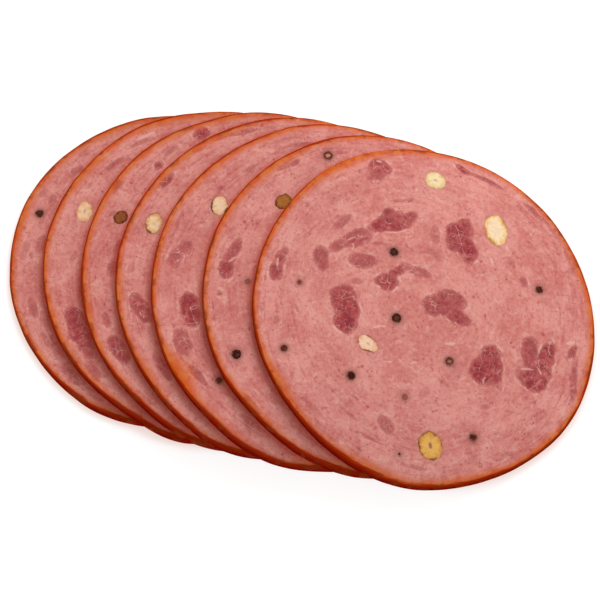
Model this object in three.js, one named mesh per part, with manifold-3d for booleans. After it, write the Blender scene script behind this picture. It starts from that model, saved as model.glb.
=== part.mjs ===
// A fan of seven smoked ham slices, with pistachios and peppercorns set in the meat.
// The slices lie in the order they were cut. Each rests on the one before and drapes over its edge.
// Millimetres, +Z up. The fan runs along +X and the lowest slice lies flat on the table.

import * as THREE from "three";
import { mergeVertices } from "three/addons/utils/BufferGeometryUtils.js";
import Module from "manifold-3d";

const manifoldLibrary = await Module();
manifoldLibrary.setup();

// Driving dimensions
const hamDiameter = 110; // the loaf, measured across the second slice
const sliceThickness = 3.5;
const rimRounding = 0.8; // the softened edge where the knife met the smoked surface
const restingGap = 0.35; // air between two slices that rest on each other
const facetShare = 0.85; // the share of that air that the facets may use up
const drapeReach = 24; // how far past a lower edge a slice comes down by one slice
const inclusionGap = 0.3; // between a nut or a peppercorn and the meat around it
const peppercornSink = 0.5; // how far a peppercorn's centre lies below the cut face


// Each slice: how far its centre lies beyond the centre of the slice below it, along the fan (step)
// and across it (drift), and how much wider than hamDiameter the loaf was there (extra).
const slices = [
  { step: 0, drift: 0, extra: -4 },
  { step: 13, drift: 1.5, extra: 0 },
  { step: 14, drift: 0, extra: 2 },
  { step: 12, drift: -1, extra: 2 },
  { step: 12, drift: -1, extra: 2 },
  { step: 15, drift: 0.5, extra: -1 },
  { step: 16, drift: -0.5, extra: -2 },
];

// Inclusions. Reach is the distance from the slice's centre as a share of its radius, and angle is in
// degrees anticlockwise from +X, so that they stay in the meat at any diameter.
const pistachios = [
  { name: "pistachio_2", slice: 2, angle: 170, reach: 0.84, length: 6.4, width: 4.8, turn: 80 },
  { name: "pistachio_3", slice: 3, angle: 171, reach: 0.85, length: 4.8, width: 4.2, turn: 60 },
  { name: "pistachio_4", slice: 4, angle: 171, reach: 0.86, length: 6.2, width: 5.0, turn: 85 },
  { name: "pistachio_5", slice: 5, angle: 156, reach: 0.79, length: 6.6, width: 5.6, turn: 110 },
  { name: "pistachio_6", slice: 6, angle: 148, reach: 0.77, length: 6.4, width: 5.4, turn: 60 },
  { name: "pistachio_7_far", slice: 7, angle: 99, reach: 0.81, length: 6.6, width: 5.4, turn: 170 },
  { name: "pistachio_7_right", slice: 7, angle: 65, reach: 0.68, length: 10.6, width: 7.2, turn: 108 },
  { name: "pistachio_7_middle", slice: 7, angle: 229, reach: 0.415, length: 6.4, width: 4.6, turn: 145 },
  { name: "pistachio_7_near", slice: 7, angle: 285, reach: 0.785, length: 9.6, width: 7.6, turn: 125 },
];
const peppercorns = [
  { name: "peppercorn_1", slice: 1, angle: 172, reach: 0.9, across: 3.2 },
  { name: "peppercorn_5_near", slice: 5, angle: 236, reach: 0.82, across: 3.0 },
  { name: "peppercorn_6_far", slice: 6, angle: 122, reach: 0.89, across: 3.4 },
  { name: "peppercorn_6_left", slice: 6, angle: 189, reach: 0.74, across: 2.2 },
  { name: "peppercorn_6_near", slice: 6, angle: 219, reach: 0.88, across: 3.4 },
  { name: "peppercorn_7_a", slice: 7, angle: 134, reach: 0.37, across: 3.2 },
  { name: "peppercorn_7_b", slice: 7, angle: 217, reach: 0.19, across: 3.4 },
  { name: "peppercorn_7_c", slice: 7, angle: 213, reach: 0.865, across: 2.6 },
  { name: "peppercorn_7_d", slice: 7, angle: 238, reach: 0.61, across: 3.2 },
  { name: "peppercorn_7_e", slice: 7, angle: 307, reach: 0.33, across: 3.4 },
  { name: "peppercorn_7_f", slice: 7, angle: 304, reach: 0.77, across: 3.0 },
  { name: "peppercorn_7_g", slice: 7, angle: 29, reach: 0.7, across: 2.8 },
  { name: "peppercorn_7_h", slice: 7, angle: 185, reach: 0.74, across: 2.2 },
  { name: "peppercorn_7_i", slice: 7, angle: 270, reach: 0.54, across: 2.4 },
  { name: "peppercorn_7_j", slice: 7, angle: 273, reach: 0.855, across: 2.0 },
];

// Finishes
const finish = (color, roughness) => new THREE.MeshStandardMaterial({ color, roughness, metalness: 0 });
const meat = finish(0xcf8a80, 0.45);
const nut = finish(0xe6c893, 0.55);
const pepper = finish(0x3c2116, 0.7);

// Fineness of the faceted slices. A drape bends most where it starts and ends, by 6 / reach^2 of its
// height, and a flat facet of length L stands off such a bend by L^2 / 8 of it. Facets are kept so short
// that they stand off by less than the resting gap, so that two slices never touch.
const slicePitch = sliceThickness + restingGap;
const sharpestBend = (6 * slicePitch) / drapeReach ** 2;
const facetLength = Math.sqrt((8 * facetShare * restingGap) / sharpestBend);
const edgeSegments = Math.ceil((Math.PI * hamDiameter) / facetLength);
const ringCount = Math.ceil(hamDiameter / 2 / facetLength);

// Where each slice lies
let alongFan = 0;
let acrossFan = 0;
for (const slice of slices) {
  alongFan += slice.step;
  acrossFan += slice.drift;
  slice.centre = new THREE.Vector2(alongFan, acrossFan);
  slice.radius = (hamDiameter + slice.extra) / 2;
}

// Height of a slice's underside: one pitch for each lower slice that it lies on, which fades smoothly
// to nothing over drapeReach beyond that slice's edge.
function undersideHeight(sliceIndex, x, y) {
  let height = 0;
  for (const lower of slices.slice(0, sliceIndex)) {
    const beyondEdge = Math.hypot(x - lower.centre.x, y - lower.centre.y) - lower.radius;
    height += slicePitch * (1 - THREE.MathUtils.smoothstep(beyondEdge, 0, drapeReach));
  }
  return height;
}

// Moves a flat piece, made round its own slice's centre, to its place in the fan and drapes it there.
function drape(geometry, sliceIndex) {
  const { centre } = slices[sliceIndex];
  const points = geometry.attributes.position;
  for (let i = 0; i < points.count; i += 1) {
    const x = points.getX(i) + centre.x;
    const y = points.getY(i) + centre.y;
    points.setXYZ(i, x, y, points.getZ(i) + undersideHeight(sliceIndex, x, y));
  }
  geometry.computeVertexNormals();
  return geometry;
}

// A closed geometry with shared vertices as a solid that can be joined and cut.
function toSolid(geometry) {
  geometry.deleteAttribute("normal");
  geometry.deleteAttribute("uv");
  const merged = mergeVertices(geometry, 1e-4);
  return new manifoldLibrary.Manifold(
    new manifoldLibrary.Mesh({
      numProp: 3,
      vertProperties: new Float32Array(merged.attributes.position.array),
      triVerts: new Uint32Array(merged.index.array),
    }),
  );
}

function toGeometry(solid) {
  const mesh = solid.getMesh();
  const geometry = new THREE.BufferGeometry();
  geometry.setAttribute("position", new THREE.Float32BufferAttribute(mesh.vertProperties, 3));
  geometry.setIndex(new THREE.Uint32BufferAttribute(mesh.triVerts, 1));
  return geometry;
}

// A flat disc of meat with a softened rim, its underside at z = 0.
function discSolid(radius) {
  const flatRadius = radius - rimRounding;
  const rings = Array.from({ length: ringCount + 1 }, (_, i) => (flatRadius * i) / ringCount);
  const underside = rings.map((r) => new THREE.Vector2(r, 0));
  const cutFace = rings.map((r) => new THREE.Vector2(r, sliceThickness)).reverse();
  const rim = [
    new THREE.Vector2(radius, rimRounding),
    new THREE.Vector2(radius, sliceThickness - rimRounding),
  ];
  const profile = [...underside, ...rim, ...cutFace];
  return toSolid(new THREE.LatheGeometry(profile, edgeSegments).rotateX(Math.PI / 2));
}

// The two cut faces of a slice, as a thick plate that an inclusion is trimmed to.
function plateSolid() {
  const side = 2 * hamDiameter;
  return toSolid(new THREE.BoxGeometry(side, side, sliceThickness).translate(0, 0, sliceThickness / 2));
}

function placeInSlice(geometry, { slice, angle, reach }, height) {
  const direction = THREE.MathUtils.degToRad(angle);
  const distance = reach * slices[slice - 1].radius;
  return geometry.translate(distance * Math.cos(direction), distance * Math.sin(direction), height);
}

// A pistachio kernel: an ellipsoid on its side, long enough upright that both cut faces pass through it.
function pistachioSolid(item, clearance) {
  const uprightRadius = 1.6 * sliceThickness;
  const kernel = new THREE.SphereGeometry(1, 14, 8).rotateX(Math.PI / 2);
  kernel.scale(item.length / 2 + clearance, item.width / 2 + clearance, uprightRadius + clearance);
  kernel.rotateZ(THREE.MathUtils.degToRad(item.turn));
  return toSolid(placeInSlice(kernel, item, sliceThickness / 2));
}

// A peppercorn: a ball just under the cut face, which shows where the knife took its top off.
function peppercornSolid(item, clearance) {
  const ball = new THREE.SphereGeometry(item.across / 2 + clearance, 10, 6).rotateX(Math.PI / 2);
  return toSolid(placeInSlice(ball, item, sliceThickness - peppercornSink));
}

function addPiece(group, name, geometry, material) {
  const piece = new THREE.Mesh(geometry, material);
  piece.name = name;
  group.add(piece);
}

const fan = new THREE.Group();
const plate = plateSolid();
const inclusions = [
  ...pistachios.map((item) => ({ item, makeSolid: pistachioSolid, material: nut })),
  ...peppercorns.map((item) => ({ item, makeSolid: peppercornSolid, material: pepper })),
];

slices.forEach((slice, sliceIndex) => {
  let flesh = discSolid(slice.radius);
  for (const { item, makeSolid, material } of inclusions) {
    if (item.slice !== sliceIndex + 1) continue;
    flesh = flesh.subtract(makeSolid(item, inclusionGap));
    const trimmed = makeSolid(item, 0).intersect(plate);
    addPiece(fan, item.name, drape(toGeometry(trimmed), sliceIndex), material);
  }
  addPiece(fan, `slice_${sliceIndex + 1}`, drape(toGeometry(flesh), sliceIndex), meat);
});

// The origin is under the middle of the fan, on the table.
const extent = new THREE.Box3().setFromObject(fan);
const middle = extent.getCenter(new THREE.Vector3());
fan.position.set(-middle.x, -middle.y, -extent.min.z);

export default fan;
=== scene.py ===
"""A fan of seven smoked ham slices with pistachios and peppercorns, on a pale table.

The slices lie in the order they were cut. The lowest lies flat, and each of the others rests on the
one before it and drapes over its edge. Lengths in this file are in millimetres until a mesh is made,
and headings are in degrees, anticlockwise from the fan's long way.
"""

from __future__ import annotations

import logging
import math
from collections.abc import Sequence
from dataclasses import dataclass, field
from enum import Enum

import bpy
import numpy as np
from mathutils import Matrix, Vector

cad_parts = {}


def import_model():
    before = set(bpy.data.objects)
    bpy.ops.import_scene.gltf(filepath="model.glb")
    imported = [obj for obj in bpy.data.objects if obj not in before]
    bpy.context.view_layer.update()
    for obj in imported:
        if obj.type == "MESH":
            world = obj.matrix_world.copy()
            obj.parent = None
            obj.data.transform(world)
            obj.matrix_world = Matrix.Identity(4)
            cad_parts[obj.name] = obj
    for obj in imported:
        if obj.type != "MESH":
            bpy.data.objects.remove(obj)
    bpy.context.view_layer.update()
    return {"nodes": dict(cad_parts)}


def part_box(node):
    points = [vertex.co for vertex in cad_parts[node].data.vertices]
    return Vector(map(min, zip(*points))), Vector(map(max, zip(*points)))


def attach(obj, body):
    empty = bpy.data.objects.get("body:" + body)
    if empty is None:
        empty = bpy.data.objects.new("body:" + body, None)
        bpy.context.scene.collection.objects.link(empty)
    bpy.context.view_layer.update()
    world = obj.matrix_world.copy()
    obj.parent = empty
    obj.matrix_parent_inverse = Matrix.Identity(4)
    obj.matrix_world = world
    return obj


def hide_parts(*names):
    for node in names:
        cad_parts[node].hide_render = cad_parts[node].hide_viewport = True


LOG = logging.getLogger("ham")
METRES = 0.001
BODY = "root"
FULL_TURN = 2 * math.pi
# How bright the studio's light makes white paper, and the grey that the light's veil adds
STUDIO_LEVEL = 1.34
GLOSS_VEIL = 0.002
# Layers of low hills: how high each is in millimetres, how long, and the offset of its seed
FACE_WAVES = ((0.07, 17.0, 200), (0.02, 4.0, 300), (0.008, 1.6, 400))
WARP_ALONG = ((0.25, 6.0, 1000), (0.08, 2.0, 1001))
WARP_ACROSS = ((0.25, 6.0, 1002), (0.08, 2.0, 1003))
KERNEL_LUMPS = ((0.035, 2.0, 0), (0.015, 0.8, 1))
# How far apart the patterns of two slices, or of two small pieces, are taken
SLICE_STRIDE = 60.0
PIECE_STRIDE = 7.0

Array = np.ndarray
Colour = tuple[float, float, float, float]


def tint(red: int, green: int, blue: int) -> Colour:
    """Finds the surface colour that looks like a given one under the studio's light.

    Each channel's display curve is undone, and the result is divided by the light's level, less the
    veil.

    Args:
        red: Red as it should look, from 0 to 255.
        green: Green.
        blue: Blue.

    Returns:
        The linear colour with an alpha of one.
    """
    def surface(value: int) -> float:
        """Works out one channel."""
        share = value / 255
        light = share / 12.92 if share <= 0.04045 else ((share + 0.055) / 1.055) ** 2.4
        return max(light / STUDIO_LEVEL - GLOSS_VEIL, 0.001)

    return (surface(red), surface(green), surface(blue), 1.0)


def smoothstep(value: Array, low: float, high: float) -> Array:
    """Rises from 0 at low to 1 at high along 3u^2 - 2u^3, and is flat outside."""
    share = np.clip((value - low) / (high - low), 0.0, 1.0)
    return share * share * (3.0 - 2.0 * share)


def waves(x: Array, y: Array, length: float, seed: int, count: int = 7) -> Array:
    """Smooth random hills: a sum of plane waves in random directions.

    Args:
        x: First coordinate.
        y: Second coordinate.
        length: Typical distance between two hills.
        seed: Seed of the directions and phases.
        count: How many waves are added.

    Returns:
        Heights of about -1 to 1.
    """
    rng = np.random.default_rng(seed)
    heights = np.zeros_like(x)
    for _ in range(count):
        heading, phase = rng.uniform(0, FULL_TURN, 2)
        number = FULL_TURN / (length * rng.uniform(0.7, 1.5))
        heights = heights + np.sin(number * (x * math.cos(heading) + y * math.sin(heading)) + phase)
    return heights / math.sqrt(count)


def hills(x: Array, y: Array, layers: Sequence[tuple[float, float, int]], seed: int) -> Array:
    """Adds layers of waves, each with its own height, length and seed."""
    return sum(height * waves(x, y, length, seed + offset) for height, length, offset in layers)


def headings(count: int) -> Array:
    """Evenly spread angles for the points of a ring, as one row."""
    return np.linspace(0.0, FULL_TURN, count, endpoint=False)[None, :]


def turned(along: Array, beside: Array, heading: float) -> tuple[Array, Array]:
    """Turns a place from an oval's own axes into the slice's, by the oval's heading."""
    cosine, sine = math.cos(math.radians(heading)), math.sin(math.radians(heading))
    return along * cosine - beside * sine, along * sine + beside * cosine


def ring_faces(rows: int, columns: int) -> tuple[Array, Array]:
    """Faces of a surface of rings between two poles.

    The first and the last point are the poles. Every row between them is a ring of the same number of
    points, so the faces are a fan at each pole and quads between the rings.

    Args:
        rows: Number of rings, without the poles.
        columns: Points in a ring.

    Returns:
        The quads and the triangles, as point numbers.
    """
    ring = 1 + np.arange(rows * columns).reshape(rows, columns)
    ahead = np.roll(ring, -1, axis=1)
    quads = np.stack([ring[:-1], ring[1:], ahead[1:], ahead[:-1]], axis=-1).reshape(-1, 4)
    last = 1 + rows * columns
    first_fan = np.stack([np.zeros(columns, int), ring[0], ahead[0]], axis=-1)
    last_fan = np.stack([np.full(columns, last), ahead[-1], ring[-1]], axis=-1)
    return quads, np.concatenate([first_fan, last_fan])


def ring_piece(name: str, x: Array, y: Array, z: Array, poles: Sequence[Sequence[float]],
               fields: dict[str, Array]) -> bpy.types.Object:
    """Makes one smooth closed piece from rings of points.

    Args:
        name: Name of the piece.
        x: First coordinates in millimetres, a row for each ring, from the top pole to the bottom one.
        y: Second coordinates.
        z: Heights.
        poles: The top and the bottom pole.
        fields: Named values at the points with the poles first and last, single numbers or vectors.

    Returns:
        The new object, at the origin, with its place in its mesh.
    """
    rings = np.stack([x, y, z], axis=-1).reshape(-1, 3)
    points = np.concatenate([[poles[0]], rings, [poles[1]]])
    quads, triangles = ring_faces(*x.shape)
    corners = np.concatenate([quads.ravel(), triangles.ravel()]).astype(np.int32)
    sizes = np.concatenate([np.full(len(quads), 4), np.full(len(triangles), 3)])
    mesh = bpy.data.meshes.new(name)
    mesh.vertices.add(len(points))
    mesh.vertices.foreach_set("co", (points * METRES).astype(np.float32).ravel())
    mesh.loops.add(len(corners))
    mesh.loops.foreach_set("vertex_index", corners)
    mesh.polygons.add(len(sizes))
    mesh.polygons.foreach_set("loop_start", np.concatenate([[0], np.cumsum(sizes)[:-1]]).astype(np.int32))
    mesh.polygons.foreach_set("use_smooth", np.ones(len(sizes), bool))
    for label, values in fields.items():
        kind, key = ("FLOAT", "value") if values.ndim == 1 else ("FLOAT_VECTOR", "vector")
        layer = mesh.attributes.new(label, kind, "POINT")
        layer.data.foreach_set(key, values.astype(np.float32).ravel())
    mesh.update(calc_edges=True)
    mesh.validate()
    piece = bpy.data.objects.new(name, mesh)
    bpy.context.scene.collection.objects.link(piece)
    return piece


# ---------------------------------------------------------------------------------------------
# What is set in the meat
# ---------------------------------------------------------------------------------------------


class Kernel(Enum):
    """How a cut pistachio kernel looks: its middle, its flesh near the skin, and its skin."""

    BLANCHED = (tint(242, 198, 158), tint(232, 166, 118), tint(206, 128, 88))
    CREAM = (tint(244, 206, 164), tint(222, 162, 100), tint(130, 74, 28))
    FAIR = (tint(246, 206, 170), tint(234, 178, 130), tint(84, 36, 12))
    LEMON = (tint(244, 218, 172), tint(228, 198, 136), tint(218, 162, 110))
    PALE = (tint(248, 218, 182), tint(238, 192, 122), tint(192, 130, 48))
    ROSY = (tint(248, 208, 178), tint(238, 178, 138), tint(150, 66, 26))
    GOLDEN = (tint(236, 180, 98), tint(220, 154, 72), tint(132, 76, 26))
    OLIVE = (tint(176, 106, 40), tint(138, 74, 26), tint(92, 48, 16))
    BROWN = (tint(148, 78, 34), tint(120, 52, 20), tint(90, 32, 10))


@dataclass(frozen=True)
class Nut:
    """A cut pistachio kernel that goes through a slice.

    Attributes:
        kernel: How it is dressed.
        length: The longer way through it.
        width: The shorter way.
        turn: Heading of the longer way.
        slit: Depth of the slit between its halves.
        taper: How much narrower its far end is than its near end, as a share.
    """

    kernel: Kernel
    length: float
    width: float
    turn: float
    slit: float = 0.0
    taper: float = 0.0


@dataclass(frozen=True)
class Corn:
    """A peppercorn with its top cut off.

    Attributes:
        core: How pale its middle is, from 0 to 1.
        brown: How brown its husk is, from 0 to 1.
        fade: How far out its colour starts to fade into the meat's, as a share of its radius.
    """

    core: float = 0.0
    brown: float = 0.0
    fade: float = 0.74


NUTS: dict[str, Nut] = {
    "pistachio_2": Nut(Kernel.BLANCHED, 7.6, 5.3, 96, slit=0.08, taper=0.12),
    "pistachio_3": Nut(Kernel.BROWN, 4.9, 4.3, 60),
    "pistachio_4": Nut(Kernel.CREAM, 7.2, 5.3, 92, slit=0.04),
    "pistachio_5": Nut(Kernel.FAIR, 6.7, 5.4, 104),
    "pistachio_6": Nut(Kernel.OLIVE, 5.7, 4.9, 60),
    "pistachio_7_far": Nut(Kernel.LEMON, 6.9, 6.1, 4, slit=0.08),
    "pistachio_7_right": Nut(Kernel.PALE, 11.0, 7.6, 108),
    "pistachio_7_middle": Nut(Kernel.ROSY, 6.9, 4.7, 164, slit=0.06, taper=-0.35),
    "pistachio_7_near": Nut(Kernel.GOLDEN, 8.8, 7.6, 118, slit=0.4),
}
CORNS: dict[str, Corn] = {
    "peppercorn_1": Corn(brown=0.15, fade=0.66),
    "peppercorn_5_near": Corn(brown=0.45, fade=0.55),
    "peppercorn_6_far": Corn(core=1.0, brown=0.5),
    "peppercorn_6_left": Corn(core=0.4, brown=1.0, fade=0.5),
    "peppercorn_6_near": Corn(fade=0.82),
    "peppercorn_7_a": Corn(core=0.06),
    "peppercorn_7_b": Corn(core=0.1),
    "peppercorn_7_c": Corn(brown=0.3),
    "peppercorn_7_d": Corn(fade=0.62),
    "peppercorn_7_e": Corn(core=0.55, fade=0.5),
    "peppercorn_7_f": Corn(brown=0.2, fade=0.58),
    "peppercorn_7_g": Corn(brown=0.1),
    "peppercorn_7_h": Corn(brown=0.85, fade=0.5),
    "peppercorn_7_i": Corn(core=0.3, brown=1.0, fade=0.36),
    "peppercorn_7_j": Corn(fade=0.3),
}


@dataclass(frozen=True)
class Oval:
    """A darker lean piece of meat, or a pale fleck: a soft-edged oval in a slice's own frame.

    Attributes:
        x: Place from the slice's centre, along the fan.
        y: Place from the slice's centre, across the fan.
        length: Half the longer way through the oval.
        width: Half the shorter way.
        turn: Heading of the longer way.
        tone: How strong it is, from 0 to 1.
    """

    x: float
    y: float
    length: float
    width: float
    turn: float
    tone: float = 1.0

    def inside(self, x: Array, y: Array) -> Array:
        """Distance in from the oval's edge: one less the scaled radius, times the mean half size."""
        along, beside = turned(x - self.x, y - self.y, -self.turn)
        scaled = np.hypot(along / self.length, beside / self.width)
        return (1.0 - scaled) * math.sqrt(self.length * self.width)


@dataclass(frozen=True)
class Spot:
    """Something on the rim: its heading, how far round it reaches, and how much of it there is."""

    heading: float
    spread: float
    amount: float


def round_the_rim(angle: Array, spots: Sequence[Spot]) -> Array:
    """Adds a bell curve for each spot: its amount times exp(-(angle away / spread)^2)."""
    total = np.zeros_like(angle)
    for spot in spots:
        away = np.abs((np.degrees(angle) - spot.heading + 180.0) % 360.0 - 180.0)
        total = total + spot.amount * np.exp(-(away / spot.spread) ** 2)
    return total


LEAN: dict[int, list[Oval]] = {
    1: [Oval(-48.2, 13.6, 1.9, 1.1, 60, 0.6), Oval(-44.4, 12.2, 2.2, 1.3, 100, 0.6),
        Oval(-39.7, 23.9, 3.0, 1.2, 60, 0.6),
        Oval(-39.0, 30.5, 2.4, 0.9, 45, 0.5), Oval(-48.3, -6.7, 3.2, 1.3, 95, 0.4),
        Oval(-43.7, -3.6, 3.4, 1.7, 85, 0.55), Oval(-40.3, -24.7, 3.8, 1.8, 120, 0.6),
        Oval(-22.1, -43.9, 4.5, 1.5, 145, 0.6), Oval(-33.5, -34.0, 3.0, 1.0, 135, 0.5)],
    2: [Oval(-36.4, -30.6, 8.6, 3.6, 126, 0.95), Oval(-31.6, -36.4, 4.0, 2.2, 130, 0.75),
        Oval(-40.7, 26.2, 3.6, 1.1, 52, 0.65), Oval(-34.5, 35.5, 4.0, 0.9, 42, 0.55),
        Oval(-28.2, -43.2, 4.2, 1.8, 138, 0.7), Oval(-44.5, -8.0, 2.0, 0.9, 80, 0.45),
        Oval(-46.5, 17.5, 1.8, 0.7, 70, 0.45)],
    3: [Oval(-29.3, 42, 2.9, 2.3, 45, 1.0), Oval(-51.2, 17.2, 2.6, 1.2, 66, 0.75),
        Oval(-45.2, -2.5, 3.0, 1.3, 92, 0.7), Oval(-44.9, -9.4, 3.4, 1.6, 94, 0.75),
        Oval(-42.2, -26.8, 2.8, 1.4, 120, 0.6), Oval(-35.6, -35.4, 5.6, 2.7, 138, 0.9),
        Oval(-50.0, 8.0, 1.6, 0.7, 60, 0.6), Oval(-39.9, 27.6, 1.8, 1.1, 55, 1.0),
        Oval(-37.5, 33.5, 3.0, 0.9, 48, 0.5)],
    4: [Oval(-47.6, 22.6, 3.6, 1.6, 62, 0.95), Oval(-43.9, -20.9, 5.6, 2.7, 136, 0.85),
        Oval(-34, 42, 4.0, 1.1, 32, 0.75), Oval(-28, 45, 3.4, 0.9, 22, 0.7),
        Oval(-40.5, 35.5, 3.0, 0.8, 45, 0.6),
        Oval(-32.5, -37.6, 5.0, 1.7, 136, 0.7), Oval(-51, -9, 2.0, 0.9, 95, 0.4),
        Oval(-25.0, 46.5, 2.5, 0.6, 15, 0.6)],
    5: [Oval(-47.2, 2.4, 2.5, 2.2, 60, 0.7), Oval(-49.5, -2.6, 3.1, 2.3, 112, 0.7),
        Oval(-40.2, -17.8, 6.2, 3.1, 116, 1.0), Oval(-40.0, -28.8, 4.6, 2.8, 128, 0.75),
        Oval(-41.1, 24.2, 1.1, 0.8, 20, 1.0), Oval(-32.3, -38.1, 5.0, 1.3, 146, 0.75),
        Oval(-12.9, -48.1, 4.2, 1.1, 166, 0.6), Oval(-33.5, 33.0, 3.6, 0.8, 42, 0.55),
        Oval(-20, 45, 4.5, 1.0, 18, 0.6), Oval(-51.0, 12.0, 1.6, 0.6, 75, 0.4)],
    6: [Oval(-46.4, 3.6, 3.5, 1.7, 84, 0.8), Oval(-47.5, -3.9, 3.4, 2.4, 108, 0.95),
        Oval(-47.2, -0.4, 2.6, 1.7, 92, 0.8),
        Oval(-47.4, -12, 1.0, 0.6, 100, 1.0), Oval(-35.5, 36, 1.7, 0.7, 40, 0.85),
        Oval(-38.5, 33.5, 2.1, 0.7, 45, 0.65), Oval(-30, -43.5, 3.6, 1.1, 150, 0.65),
        Oval(-50, 22, 2.0, 0.7, 60, 0.5), Oval(-22, 43.5, 3.0, 0.7, 20, 0.5)],
    7: [
        # Round piece near the far left edge, with a paler arc in it
        Oval(-25.6, 41.2, 3.4, 2.8, 60, 0.9), Oval(-25.0, 37.8, 3.2, 1.5, 30, 0.75),
        Oval(-22.6, 41.6, 1.6, 1.8, 60, 0.9),
        Oval(-13.3, 33.4, 1.4, 0.7, 40, 0.75), Oval(-16.6, 31.8, 2.0, 0.5, 28, 0.7),
        # The big oval of four lobes above the middle
        Oval(-17.2, 22.9, 7.2, 2.5, 24, 0.95), Oval(-15.9, 25.3, 5.6, 2.0, 18, 0.8),
        Oval(-18.6, 26.8, 2.2, 1.5, 50, 0.9),
        Oval(-15.4, 27.6, 1.9, 1.3, 60, 0.85), Oval(-11.8, 27.8, 2.5, 1.5, 30, 0.95),
        # The chain that curls down from it to the left
        Oval(-26.0, 15.2, 5.0, 2.9, 38, 0.8), Oval(-30.8, 11.6, 3.6, 1.8, 45, 0.75),
        Oval(-35.2, 6.0, 4.4, 2.5, 112, 0.8), Oval(-31.6, 19.4, 3.8, 1.5, 55, 0.6),
        Oval(-22.5, 8.6, 4.8, 2.5, 12, 0.75), Oval(-18.8, 15.6, 2.6, 0.6, 15, 0.5),
        # Dark piece left of the middle, with a faint tail
        Oval(-13.8, 4.2, 3.8, 2.7, 10, 0.95), Oval(-11.4, 8.6, 2.8, 1.7, 50, 0.95),
        Oval(-5.4, 10.8, 5.0, 1.5, 172, 0.65), Oval(-22.8, 1.4, 2.0, 1.2, 20, 0.5),
        # Long steep oval
        Oval(-25.6, -5.2, 4.6, 4.1, 112, 0.95), Oval(-23.2, -11.4, 4.8, 3.8, 110, 1.0),
        Oval(-22.8, -7.4, 4.4, 3.0, 110, 0.95),
        # The largest piece above the middle, in three lobes
        Oval(3.0, 28.0, 3.3, 2.9, 80, 1.0), Oval(6.2, 30.0, 3.4, 2.7, 120, 0.9),
        Oval(3.0, 23.8, 2.8, 2.2, 120, 0.9), Oval(8.0, 23.2, 4.4, 3.2, 120, 1.0),
        Oval(-2.8, 24.2, 3.2, 1.6, 110, 0.45), Oval(-2.0, 18.0, 3.0, 1.4, 160, 0.4),
        # Broad piece right of the middle
        Oval(2.6, 1.8, 4.6, 3.4, 20, 0.85), Oval(7.0, 5.6, 5.4, 2.6, 172, 0.85),
        Oval(9.6, 0.6, 5.0, 2.6, 165, 0.9),
        # Teardrop
        Oval(22.6, -9.4, 4.8, 3.6, 82, 0.95), Oval(21.8, -13.8, 4.9, 4.0, 20, 1.0),
        Oval(25.0, -12.4, 4.4, 2.6, 100, 0.95),
        # Large veined piece near the right edge
        Oval(34.4, -2.8, 5.2, 2.9, 96, 0.85), Oval(39.8, -2.6, 5.8, 2.7, 84, 0.95),
        Oval(37.6, -11.2, 4.0, 3.7, 170, 1.0), Oval(33.6, -11.0, 2.6, 1.6, 130, 0.8),
        Oval(40.4, -8.8, 4.2, 2.4, 82, 0.9), Oval(36.0, -7.4, 3.2, 2.0, 120, 0.8),
        # Small and faint ones
        Oval(-3.8, -38.8, 3.4, 2.1, 145, 0.65), Oval(10.1, -21.3, 0.9, 0.6, 60, 0.7),
        Oval(22.8, 23.2, 1.5, 1.1, 150, 0.65), Oval(27.8, 19.2, 2.0, 1.2, 125, 0.7),
        Oval(47.6, 1.6, 2.5, 1.2, 65, 0.95), Oval(50.0, -7.5, 7.0, 1.4, 98, 0.6),
        Oval(0.6, 51.0, 2.8, 1.2, 160, 1.0), Oval(9.5, 50.0, 6.4, 1.0, 172, 0.7),
        Oval(26.0, 44.6, 5.0, 1.0, 148, 0.65), Oval(33.5, 40.0, 4.5, 0.9, 140, 0.5),
        Oval(41.0, 31.0, 5.0, 1.1, 126, 0.5),
        Oval(14.7, -17.6, 0.7, 0.5, 0, 0.6), Oval(24.7, -24.3, 1.3, 0.9, 30, 0.55),
        Oval(36.8, -17.6, 0.6, 0.5, 0, 0.8), Oval(39.3, -17.8, 0.6, 0.4, 90, 0.8),
        Oval(27.2, -17.2, 0.7, 0.5, 0, 0.6),
        Oval(29.7, -30.9, 0.5, 0.4, 0, 1.0), Oval(-14.5, -39.5, 2.4, 0.5, 165, 0.6),
        Oval(-7.4, -44.2, 3.2, 0.6, 160, 0.6),
        Oval(-47.2, 3.6, 3.4, 1.6, 84, 0.8), Oval(-47.8, -1.6, 3.2, 2.3, 105, 0.9),
        Oval(-14.4, -34.0, 1.3, 0.4, 160, 0.8),
        Oval(-43.6, -17.0, 1.4, 1.0, 60, 0.5), Oval(-38.2, -12.4, 1.9, 0.6, 125, 0.5),
        Oval(5.5, -26.0, 2.4, 1.2, 60, 0.35), Oval(8.0, -48.2, 4.5, 0.7, 8, 0.5),
        Oval(34.0, -37.0, 3.5, 0.8, 40, 0.4),
    ],
}
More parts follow.
